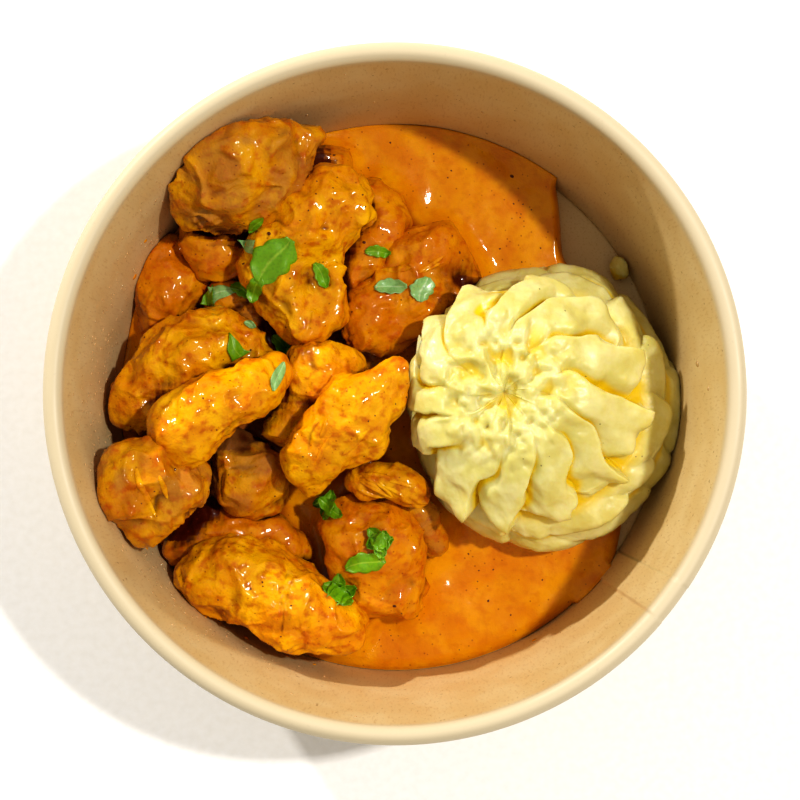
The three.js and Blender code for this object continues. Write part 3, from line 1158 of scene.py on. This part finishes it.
@dataclass
class MashRosette:
    """Mashed potato piped from a star nozzle: long swept petals on ragged coils.

    Attributes:
        bowl: The bowl it stands in.
        around: Steps round the rosette.
        rings: Steps from its tip to its foot.
        lean: How far its top leans over.
        seed: Seed for its petals and lumps.
        tip: The petals on top.
        skirt: The lip below them.
        coil: The ragged coil at the foot.
    """

    bowl: PaperBowl
    around: int = 600
    rings: int = 190
    lean: tuple[float, float] = (-10.5 * MM, 2.5 * MM)
    seed: int = 5
    tip: PetalRing = PetalRing(12, 0.35, 0.35, 0.35, 0.9, 0.35)
    skirt: PetalRing = PetalRing(13, 0.0, 0.0, 0.9, 0.78, 0.4)
    coil: PetalRing = PetalRing(11, 0.0, 0.0, 0.2, 0.8, 0.5)

    def profile(self) -> np.ndarray:
        """The rosette's outline.

        Returns:
            Radius and height from the tip to the foot.
        """
        points = [
            (0.0, 44.4), (4.5, 44.6), (10, 44.6), (16, 43.2), (21, 40.4), (24.6, 36.8), (26.4, 33.6),
            (25.4, 31.4), (24.6, 29.8), (27.0, 28.6), (28.9, 26.6), (28.4, 24.6), (29.2, 23.0),
            (31.0, 20.6), (31.3, 17.0), (30.6, 12.5), (29.2, 6.9),
        ]
        return rounded_path(points, self.rings) * MM

    def flick(self) -> Surface:
        """A thin pointed flake that stands up where a petal's edge broke away.

        Returns:
            The flake, a thin tube left open at its root and its tip.
        """
        path = [(10.5, 1.0, 34.0), (7.2, 4.5, 36.5), (5.6, 9.0, 38.0), (5.4, 13.5, 38.5)]
        path = np.array(path) * MM
        share = np.linspace(0, 3, 22)
        spine = np.stack([np.interp(share, np.arange(4), path[:, axis]) for axis in range(3)], 1)
        around = np.arange(12) * math.pi / 6
        wide = 1.9 * MM * (1 - share / 3) ** 0.7 + 0.12 * MM
        ring = np.stack([np.cos(around), 0.2 * np.cos(around), 0.35 * np.sin(around)], 1)
        corners = spine[:, None, :] + wide[:, None, None] * ring[None, :, :]
        corners = corners.reshape(-1, 3)
        return Surface(corners, ring_faces(len(share), 12), {"fold": np.zeros(len(corners))})

    def build(self) -> bpy.types.Object:
        """Makes the rosette.

        Returns:
            The finished piece.
        """
        low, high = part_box("mash")
        centre = np.array([(low[0] + high[0]) / 2, (low[1] + high[1]) / 2])
        rng = np.random.default_rng(self.seed)
        noise = LatticeNoise(self.seed)
        profile = self.profile()
        angles = np.arange(self.around) * 2 * math.pi / self.around
        radius, z = profile[:, 0][:, None], profile[:, 1][:, None]
        theta = np.broadcast_to(angles, (self.rings, self.around))
        ahead = np.gradient(profile, axis=0)
        ahead /= np.linalg.norm(ahead, axis=1)[:, None]
        out_r, out_z = np.abs(ahead[:, 1])[:, None], np.clip(ahead[:, 0], 0, 1)[:, None]
        outward = np.clip(radius / (26.4 * MM), 0, 1)
        outward = np.where(z > 33 * MM, outward, 1.0) * np.ones_like(theta)
        flat = [radius * np.cos(theta), radius * np.sin(theta), z * np.ones_like(theta)]
        flat = np.stack(flat, 2).reshape(-1, 3)

        def lumps(shift: float, grain: float) -> np.ndarray:
            """Lumps of a size, all over the rosette."""
            return noise.layered(flat + shift, grain, 2).reshape(theta.shape)

        wobble = lumps(0.0, 11 * MM)
        upper = smoothstep(29.6 * MM, 31.6 * MM, z) * np.ones_like(theta)
        bumps = lumps(0.3, 5.5 * MM)
        face, across, size = self.tip.faces(theta, outward, 0.16 * wobble + 0.07 * bumps, rng)
        depth = 4.2 * MM * smoothstep(0.42, 0.95, outward) * (1 + 0.35 * wobble)
        tilt = (size - 1) * outward * 4.0 * MM * (across - 0.5)
        petals = depth * (face - 1) + face * (1.2 * MM * outward**2 * (across - 0.4) + outward * tilt)
        petals = petals + face * 2.6 * MM * (size - 1) * np.sin(outward * 7 + 9 * size)
        ends = np.exp(-(((z - 33.4 * MM) / (2.6 * MM)) ** 2))
        petals = petals + 3.0 * MM * ends * face * (size * smoothstep(0.05, 0.75, across) - 0.45)
        crumbs = np.tanh(2.2 * lumps(0.5, 3.0 * MM))
        knobs = (1 - smoothstep(0.3, 0.8, outward)) * (1.3 * MM * crumbs - 0.3 * MM)
        knobs = knobs + 0.45 * MM * bumps
        skirt_face, skirt_across, skirt_size = self.skirt.faces(theta, outward, 0.2 * wobble, rng)
        lip = np.exp(-(((z - 26.9 * MM) / (1.9 * MM)) ** 2))
        ragged = 2.4 * MM * lip * (skirt_face * skirt_size * (0.3 + 0.7 * skirt_across) - 0.45)
        coil_face, coil_across, coil_size = self.coil.faces(theta, outward, 0.25 * wobble, rng)
        band = smoothstep(8 * MM, 19 * MM, z) * (1 - smoothstep(23 * MM, 26 * MM, z))
        coils = coil_face * coil_size * (0.4 + 0.6 * coil_across) - 0.45
        ragged = ragged + 1.5 * MM * band * coils
        rise = upper * (petals + knobs) + (1 - upper) * ragged + 0.4 * MM * wobble
        lines = np.stack([theta.ravel() * 12 * MM, flat[:, 2] * 0.3, flat[:, 0] * 0.1], 1)
        drag = noise.at(lines, 0.8 * MM).reshape(theta.shape)
        rise = rise + 0.17 * MM * lumps(0.9, 1.8 * MM)
        rise = rise + 0.06 * MM * drag * smoothstep(0.4, 0.8, outward)
        taper = smoothstep(20 * MM, 47 * MM, z) * 1.05
        grown = radius + rise * out_r
        height = z + rise * out_z
        x = centre[0] + grown * np.cos(theta) + self.lean[0] * taper
        y = centre[1] + grown * np.sin(theta) * 1.05 + self.lean[1] * taper
        pull = np.minimum(1, (self.bowl.wall(height) - 0.2 * MM) / np.hypot(x, y))
        corners = np.stack([x * pull, y * pull, height], 2).reshape(-1, 3)
        foot = len(corners)
        corners = np.vstack([corners, corners[-self.around :].mean(axis=0)])
        faces = ring_faces(self.rings, self.around)
        bottom = foot - self.around
        faces += [(bottom + (i + 1) % self.around, bottom + i, foot) for i in range(self.around)]
        # butter and painted shade: the fold value marks the hollows between petals, dips among the
        # crumbs and the bands under the lips
        hollow = (1 - smoothstep(0.15, 0.85, face)) * smoothstep(0.4, 0.75, outward)
        hollow = upper * np.maximum(hollow, -0.7 * (1 - smoothstep(0.4, 0.8, outward)) * crumbs)
        under = np.exp(-(((z - 30 * MM) / (1.2 * MM)) ** 2)) + np.exp(-(((z - 24.4 * MM) / MM) ** 2))
        hollow = np.clip(hollow + 0.6 * under, 0, 1)
        rosette = Surface(corners, faces, {"fold": np.append(hollow.ravel(), 0.0)})
        piece = add_object("mash_rosette", heaped([rosette, self.flick()]), MashedPotato().build())
        hand_over(piece, "mashed_potato", "mash")
        return piece


# ---- Herbs ---------------------------------------------------------------------------------


class LeafShape(Enum):
    """How a bit of leaf was cut."""

    LOBED = "lobed"
    TORN = "torn"
    CURLED = "curled"
    SLIVER = "sliver"


CURL: dict[LeafShape, float] = {
    LeafShape.LOBED: 0.7 * MM, LeafShape.TORN: 0.6 * MM, LeafShape.CURLED: 1.9 * MM,
    LeafShape.SLIVER: 0.4 * MM,
}


@dataclass(frozen=True)
class LeafBit:
    """A bit of chopped leaf lying on a chunk.

    Attributes:
        node: The solid it lies on.
        share: Its place across and up that solid's box, from 0 to 1.
        length: Its length.
        width: Its width.
        heading: The way it points, in degrees from +X.
        shape: How it was cut.
        pale: Whether its back shows.
    """

    node: str
    share: tuple[float, float]
    length: float
    width: float
    heading: float
    shape: LeafShape
    pale: bool = False

    def outline(self, along: np.ndarray) -> np.ndarray:
        """Half width of the bit.

        Args:
            along: Shares of its length.

        Returns:
            Shares of half its width.
        """
        if self.shape is LeafShape.TORN:
            return np.clip(1 - along, 0.03, 1) * (1 - 0.15 * np.sin(9 * along))
        if self.shape is LeafShape.SLIVER:
            return np.sin(np.pi * np.clip(along, 0.02, 0.98)) ** 0.6
        lobes = 1 + 0.22 * np.abs(np.sin(3.2 * np.pi * along)) - 0.12
        return lobes * np.sin(np.pi * np.clip(along, 0.03, 0.97)) ** 0.55

    def lift(self, along: np.ndarray, across: np.ndarray) -> np.ndarray:
        """How far the bit curls up off what it lies on.

        Args:
            along: Shares of its length.
            across: Places across it, from -1 to 1.

        Returns:
            One height for each place.
        """
        wave = 0.5 + 0.5 * np.sin(11 * along + 5 * across)
        share = 0.45 * across**2 + 0.35 * wave * np.abs(across) + 0.2 * along**3
        return CURL[self.shape] * share

    def surface(self, ground: Ground, spin: float = 0.0, shift: Corner = (0, 0, 0)) -> Surface:
        """The bit's closed thin blade, lying on the ground below it.

        Args:
            ground: What it lies on.
            spin: How far it is turned from its heading, in degrees.
            shift: How far it is moved.

        Returns:
            The blade.
        """
        low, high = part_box(self.node)
        x0 = low[0] + (high[0] - low[0]) * self.share[0] + shift[0]
        y0 = low[1] + (high[1] - low[1]) * self.share[1] + shift[1]
        steps, sides = 22, 11
        along, across = np.meshgrid(np.linspace(0, 1, steps), np.linspace(-1, 1, sides), indexing="ij")
        half = self.outline(along) * self.width / 2
        u = (along - 0.5) * self.length
        v = across * half + 0.08 * self.width * np.sin(5 * along)
        turn = math.radians(self.heading + spin)
        x = x0 + u * math.cos(turn) - v * math.sin(turn)
        y = y0 + u * math.sin(turn) + v * math.cos(turn)
        hit = ground.below(x0, y0)
        rest = hit[0].z if hit else low[2]
        z = np.clip(ground.heights(x, y, rest), rest - 2.2 * MM, rest + 2.5 * MM)
        for _ in range(2):
            z[1:-1] = (z[:-2] + 2 * z[1:-1] + z[2:]) / 4
        z = z + 0.28 * MM + self.lift(along, across) + shift[2]
        vein = np.clip(1 - np.abs(across) * 9, 0, 1)
        ribs = np.clip(1 - np.abs(((along * 5 + np.abs(across) * 1.3) % 1) - 0.5) * 9, 0, 1) * 0.7
        z = z - 0.12 * MM * np.maximum(vein, ribs)
        top = np.stack([x, y, z], 2).reshape(-1, 3)
        under = top - np.array([0, 0, 0.16 * MM])
        order = np.arange(steps * sides).reshape(steps, sides)
        count = order.size
        faces = []
        for a, b in zip(order[:-1, :-1].ravel().tolist(), order[1:, :-1].ravel().tolist()):
            faces.append((a, b, b + 1, a + 1))
            faces.append((count + a, count + a + 1, count + b + 1, count + b))
        loop = [*order[:, 0], *order[-1, 1:], *order[-2::-1, -1], *order[0, -2:0:-1]]
        loop = [int(i) for i in loop]
        for a, b in zip(loop, loop[1:] + loop[:1]):
            faces.append((b, a, count + a, count + b))
        shade = np.maximum(vein, ribs).ravel()
        return Surface(np.vstack([top, under]), faces, {"vein": np.tile(shade, 2)})

    def pieces(self, ground: Ground) -> Surface:
        """The whole bit: a curled one is a tuft of three.

        Args:
            ground: What it lies on.

        Returns:
            The bit's surface.
        """
        made = [self.surface(ground)]
        if self.shape is LeafShape.CURLED:
            for spin, step in ((65, 0.6 * MM), (-70, -0.5 * MM)):
                made.append(self.surface(ground, spin, (step, -step, 0.35 * MM)))
        return heaped(made)


LEAVES: list[LeafBit] = [
    LeafBit("chicken_upper_middle", (0.24, 0.46), 12 * MM, 8.5 * MM, 55, LeafShape.LOBED),
    LeafBit("chicken_upper_middle", (0.09, 0.31), 6 * MM, 3.5 * MM, 70, LeafShape.LOBED),
    LeafBit("chicken_upper_middle", (0.03, 0.56), 5.5 * MM, 4.5 * MM, 160, LeafShape.TORN, True),
    LeafBit("chicken_upper_middle", (0.10, 0.66), 4.5 * MM, 1.8 * MM, 40, LeafShape.SLIVER),
    LeafBit("chicken_upper_middle", (0.60, 0.39), 6 * MM, 3.2 * MM, -60, LeafShape.LOBED),
    LeafBit("chicken_ridge", (0.62, 0.40), 6 * MM, 2.6 * MM, 0, LeafShape.LOBED),
    LeafBit("chicken_right_flat", (0.35, 0.52), 7.5 * MM, 3.6 * MM, 5, LeafShape.LOBED, True),
    LeafBit("chicken_right_flat", (0.57, 0.50), 6 * MM, 5.2 * MM, 75, LeafShape.LOBED, True),
    LeafBit("chicken_between", (0.25, 0.82), 7.5 * MM, 5 * MM, 15, LeafShape.TORN, True),
    LeafBit("chicken_between", (0.05, 0.80), 5 * MM, 4 * MM, 80, LeafShape.TORN),
    LeafBit("chicken_between", (0.45, 0.85), 5.5 * MM, 3.4 * MM, -20, LeafShape.LOBED),
    LeafBit("chicken_left", (0.72, 0.70), 6 * MM, 5 * MM, 120, LeafShape.TORN),
    LeafBit("chicken_left", (0.80, 0.88), 2.8 * MM, 1.8 * MM, -20, LeafShape.SLIVER, True),
    LeafBit("chicken_left", (0.98, 0.72), 6.5 * MM, 3.5 * MM, -45, LeafShape.LOBED),
    LeafBit("chicken_middle", (0.17, 0.62), 7 * MM, 2.4 * MM, 75, LeafShape.SLIVER, True),
    LeafBit("chicken_lower_middle", (0.08, 0.88), 7 * MM, 3.2 * MM, 80, LeafShape.CURLED),
    LeafBit("chicken_lower_middle", (0.55, 0.60), 6.5 * MM, 3.6 * MM, 20, LeafShape.CURLED),
    LeafBit("chicken_lower_middle", (0.42, 0.43), 9.5 * MM, 4.6 * MM, 15, LeafShape.LOBED),
    LeafBit("chicken_lower_middle", (0.18, 0.20), 8 * MM, 3.8 * MM, -30, LeafShape.CURLED),
]


@dataclass
class ChoppedHerbs:
    """All the leaf bits, joined by which side shows."""

    upper: FreshHerb = FreshHerb("coriander_upper_side", "76A612", "A8C444")
    back: FreshHerb = FreshHerb("coriander_back_side", "94BC78", "C2D8A6")

    def build(self, ground: Ground) -> None:
        """Makes one piece for the upper sides and one for the backs.

        Args:
            ground: What they lie on.
        """
        for pale, name, finish in (
            (False, "coriander_upper", self.upper), (True, "coriander_back", self.back)
        ):
            bits = [leaf.pieces(ground) for leaf in LEAVES if leaf.pale == pale]
            hand_over(add_object(name, heaped(bits), finish.build()), "herb_leaf")


# ---- Small bits ----------------------------------------------------------------------------


def dab(place: Sequence[float], normal: Sequence[float], radius: float, height: float) -> Surface:
    """A low dome on a surface.

    Args:
        place: Middle of its foot.
        normal: Which way it stands.
        radius: Radius of its foot.
        height: How far it stands out.

    Returns:
        The dome, closed below.
    """
    up = Vector(normal).normalized()
    side = up.orthogonal().normalized()
    other = up.cross(side)
    sides = 8
    rings = [(0.02, 1.0), (0.5, 0.85), (0.85, 0.5), (1.0, 0.0), (0.8, -0.5), (0.02, -0.6)]
    corners = []
    for share, level in rings:
        for i in range(sides):
            turn = 2 * math.pi * i / sides
            wide = radius * share * (1 + 0.18 * math.sin(2 * turn + 900 * place[0] / MM))
            spot = side * math.cos(turn) * wide + other * math.sin(turn) * wide + up * level * height
            corners.append(tuple(Vector(place) + spot))
    bare = np.zeros(len(corners))
    return Surface(np.array(corners), ring_faces(len(rings), sides), {"fold": bare, "bare": bare})


@dataclass
class SmallBits:
    """Spice flakes, sauce drops, water beads on the wall and frayed threads of meat.

    Attributes:
        bowl: The bowl they lie in.
        seed: Seed for their places and sizes.
        flakes: Number of spice flakes.
        reach: How far from the bowl's axis the flakes lie.
        beads: Number of water beads.
        frayed: How many threads each frayed chunk has.
        rings: Rings in a thread.
        sides: Corners in each of those rings.
    """

    bowl: PaperBowl
    seed: int = 9
    flakes: int = 130
    reach: float = 64 * MM
    beads: int = 420
    frayed: dict[str, int] = field(
        default_factory=lambda: {
            "chicken_shred": 9, "chicken_right_flat": 4, "chicken_winged": 3, "chicken_wall_left": 3
        }
    )
    rings: int = 15
    sides: int = 8

    def spice(self, ground: Ground) -> None:
        """Strews flakes of ground spice on the meat and the sauce.

        Args:
            ground: What they fall on.
        """
        rng = np.random.default_rng(self.seed)
        low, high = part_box("mash")
        bits = []
        while len(bits) < self.flakes:
            x, y = rng.uniform(-self.reach, self.reach, 2)
            size = (rng.uniform(0.14, 0.24) if rng.random() < 0.85 else rng.uniform(0.3, 0.45)) * MM
            hit = ground.below(x, y)
            on_mash = low[0] < x < high[0] and low[1] < y < high[1]
            if hit and not on_mash and math.hypot(x, y) < self.reach:
                bits.append(dab(hit[0], hit[1], size, 0.35 * size))
        finish = Bead("ground_spice", "5A2606", 0.7, 0.2)
        hand_over(add_object("spice_flakes", heaped(bits), finish.build()), "curry_sauce")

    def on_wall(self, angle: float, z: float, radius: float, height: float) -> Surface:
        """One drop on the wall.

        Args:
            angle: Where it is, in degrees from +X.
            z: Its height in the bowl.
            radius: Radius of its foot.
            height: How far it stands out.

        Returns:
            The drop.
        """
        turn = math.radians(angle)
        reach = self.bowl.wall(z)
        way = (-math.cos(turn), -math.sin(turn), self.bowl.slope)
        return dab((reach * math.cos(turn), reach * math.sin(turn), z), way, radius, height)

    def drops(self, skin: bpy.types.Material) -> None:
        """Splashes sauce on the wall.

        Args:
            skin: The sauce's finish.
        """
        spots = [  # angle in degrees, height and radius in mm
            (206, 22, 0.9), (211, 25, 0.6), (222, 21, 0.9), (229, 24, 0.5), (238, 17, 0.8),
            (247, 14, 0.6), (196, 31, 0.5), (128, 41, 0.5), (119, 38, 0.4), (201, 16, 1.0),
            (216, 15, 0.7), (253, 12.5, 0.5), (148, 30, 0.6), (155, 24, 0.7), (-60, 13.5, 0.6),
        ]
        bits = [self.on_wall(a, z * MM, size * MM, 0.4 * size * MM) for a, z, size in spots]
        hand_over(add_object("sauce_drops", heaped(bits), skin), "curry_sauce")

    def water(self) -> None:
        """Settles beads of steam on the wall beside the meat, and two drops on the far side."""
        rng = np.random.default_rng(self.seed + 1)
        bits = [
            self.on_wall(6, 37 * MM, 0.9 * MM, 0.3 * MM), self.on_wall(1, 44 * MM, 0.5 * MM, 0.2 * MM)
        ]
        for _ in range(self.beads):
            angle = rng.normal(185, 34)
            z = rng.triangular(16, 24, 54) * MM
            size = rng.uniform(0.16, 0.38) * MM
            bits.append(self.on_wall(angle, z, size, 0.45 * size))
        finish = Bead("steam_beads", "C2A274", 0.25, 0.9)
        hand_over(add_object("wall_beads", heaped(bits), finish.build()), "kraft_paper")

    def thread(self, ground: Ground, chunk: Chunk, rng: np.random.Generator) -> Surface | None:
        """One frayed thread lying along a chunk's grain.

        Args:
            ground: The meat.
            chunk: The chunk it lies on.
            rng: Source of its place and size.

        Returns:
            The thread, or None where the meat is too steep or ends.
        """
        low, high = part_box(chunk.node)
        middle = [
            rng.uniform(low[k] * 0.72 + high[k] * 0.28, low[k] * 0.28 + high[k] * 0.72) for k in (0, 1)
        ]
        turn = math.radians(chunk.grain + rng.normal(0, 16))
        length, thick = rng.uniform(4.5, 9) * MM, rng.uniform(0.5, 0.85) * MM
        bend = rng.uniform(-0.2, 0.2)
        corners, heights = [], []
        for share in np.linspace(-1, 1, self.rings):
            way = turn + bend * share
            ahead = Vector((math.cos(way), math.sin(way), 0)) * share * length / 2
            hit = ground.below(middle[0] + ahead.x, middle[1] + ahead.y)
            if not hit:
                return None
            wide = thick * math.sqrt(max(0.0, 1 - share * share)) + 0.02 * MM
            across = Vector((-math.sin(way), math.cos(way), 0))
            for i in range(self.sides):
                spin = 2 * math.pi * i / self.sides
                corner = across * wide * math.cos(spin) + hit[1] * 0.5 * wide * math.sin(spin)
                corners.append(hit[0] + corner)
            heights.append(corners[-self.sides].z)
        if max(abs(np.diff(heights))) >= 1.2 * MM:
            return None
        bare = np.zeros(len(corners))
        faces = ring_faces(self.rings, self.sides)
        return Surface(np.array(corners), faces, {"fold": bare, "bare": bare})

    def threads(self, ground: Ground, skin: bpy.types.Material) -> None:
        """Lays frayed threads on the chunks that have them.

        Args:
            ground: The meat.
            skin: The sauce's finish.
        """
        rng = np.random.default_rng(self.seed + 2)
        chunks = [chunk for chunk in CHUNKS for _ in range(self.frayed.get(chunk.node, 0))]
        made = [self.thread(ground, chunk, rng) for chunk in chunks]
        bits = [bit for bit in made if bit]
        hand_over(add_object("meat_threads", heaped(bits), skin), "sauced_chicken")


# ---- Stage ---------------------------------------------------------------------------------


@dataclass
class Stage:
    """Pale paper floor, soft lights and the camera, looking almost straight down.

    Attributes:
        rim_height: Height of the bowl's rim.
        elevation: The camera's angle above the floor, in degrees.
        distance: How far it stands off.
        aim: The point it looks at, near the rim's middle.
        lens: Its focal length in mm.
        side: Half the floor's side.
        sunk: How far the floor lies below the bowl's foot.
        away: How far the lights stand off.
        lamp_size: Side of each light.
    """

    rim_height: float
    elevation: float = 87.55
    distance: float = 410 * MM
    aim: tuple[float, float] = (1.1 * MM, -1.9 * MM)
    lens: float = 86.6
    side: float = 3.0
    sunk: float = 0.2 * MM
    away: float = 1.2
    lamp_size: float = 0.05

    def floor(self) -> None:
        """Lays a wide sheet of pale paper."""
        corners = np.array([[-1, -1, 0], [1, -1, 0], [1, 1, 0], [-1, 1, 0]]) * self.side
        floor = add_object("studio_floor", Surface(corners, [(0, 1, 2, 3)]), StudioPaper().build())
        floor.location.z = -self.sunk
        floor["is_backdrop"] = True

    def light(self, name: str, azimuth: float, zenith: float, power: float) -> None:
        """Hangs one square soft light.

        Args:
            name: The light's name.
            azimuth: Where it stands, in degrees from +X.
            zenith: Its angle from straight up.
            power: Its power in watts.
        """
        lamp = bpy.data.lights.new(name, "AREA")
        lamp.energy = power
        lamp.size = self.lamp_size
        lamp.color = (1.0, 0.98, 0.95)
        holder = bpy.data.objects.new(name, lamp)
        turn, lean = math.radians(azimuth), math.radians(zenith)
        flat = math.sin(lean)
        way = Vector((flat * math.cos(turn), flat * math.sin(turn), math.cos(lean)))
        holder.location = way * self.away
        holder.rotation_euler = way.to_track_quat("Z", "Y").to_euler()
        bpy.context.collection.objects.link(holder)

    def camera(self) -> None:
        """Stands the camera over the bowl."""
        lens = bpy.data.cameras.new("camera")
        lens.lens = self.lens
        lens.sensor_width = 36
        lens.clip_start = 0.01
        camera = bpy.data.objects.new("camera", lens)
        target = Vector((self.aim[0], self.aim[1], self.rim_height - 2 * MM))
        lean = math.radians(self.elevation)
        camera.location = target + Vector((0, -math.cos(lean), math.sin(lean))) * self.distance
        camera.rotation_euler = (target - camera.location).to_track_quat("-Z", "Y").to_euler()
        bpy.context.collection.objects.link(camera)
        bpy.context.scene.camera = camera

    def build(self) -> None:
        """Sets the stage."""
        self.floor()
        self.light("high_light", 15, 26, 6.2)
        self.light("low_light", 129, 64, 7.8)
        world = bpy.data.worlds.new("studio")
        world.use_nodes = True
        colour, strength = world.node_tree.nodes["Background"].inputs[:2]
        colour.default_value, strength.default_value = (1.0, 0.97, 0.93, 1), 0.4
        scene = bpy.context.scene
        scene.world = world
        scene.view_settings.view_transform = "Standard"
        scene.view_settings.look = "High Contrast"
        self.camera()


# ---- Making it all -------------------------------------------------------------------------


def main() -> None:
    """Builds every sub-assembly in order."""
    logging.basicConfig(level=logging.INFO, format="%(name)s %(message)s")
    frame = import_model()
    cad_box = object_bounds()
    bowl = PaperBowl()
    bowl.build()
    skins = {coat: finish.build() for coat, finish in COATS.items()}
    nodes = frame["nodes"]
    pile = Pile(Ground([node for name, node in nodes.items() if not name.startswith("bowl")]))
    meat = [
        chunk.build(nodes[chunk.node], 100 + number, bowl, pile, skins[chunk.coat])
        for number, chunk in enumerate(CHUNKS)
    ]
    pool = SaucePool(bowl).build(Ground(meat))
    mash = MashRosette(bowl).build()
    crumb = Chunk("mash_crumb", knobs=0.4 * MM, fibres=0.0, swell=0.2 * MM, voxel=0.4 * MM)
    piece = crumb.build(nodes["mash_crumb"], 300, bowl, pile, mash.data.materials[0])
    ChoppedHerbs().build(Ground([*meat, pool, mash]))
    bits = SmallBits(bowl)
    bits.spice(Ground([*meat, pool]))
    bits.drops(pool.data.materials[0])
    bits.water()
    bits.threads(Ground(meat), skins[Coat.BRIGHT])
    Stage(cad_box[1][2]).build()


if __name__ == "__main__":
    main()
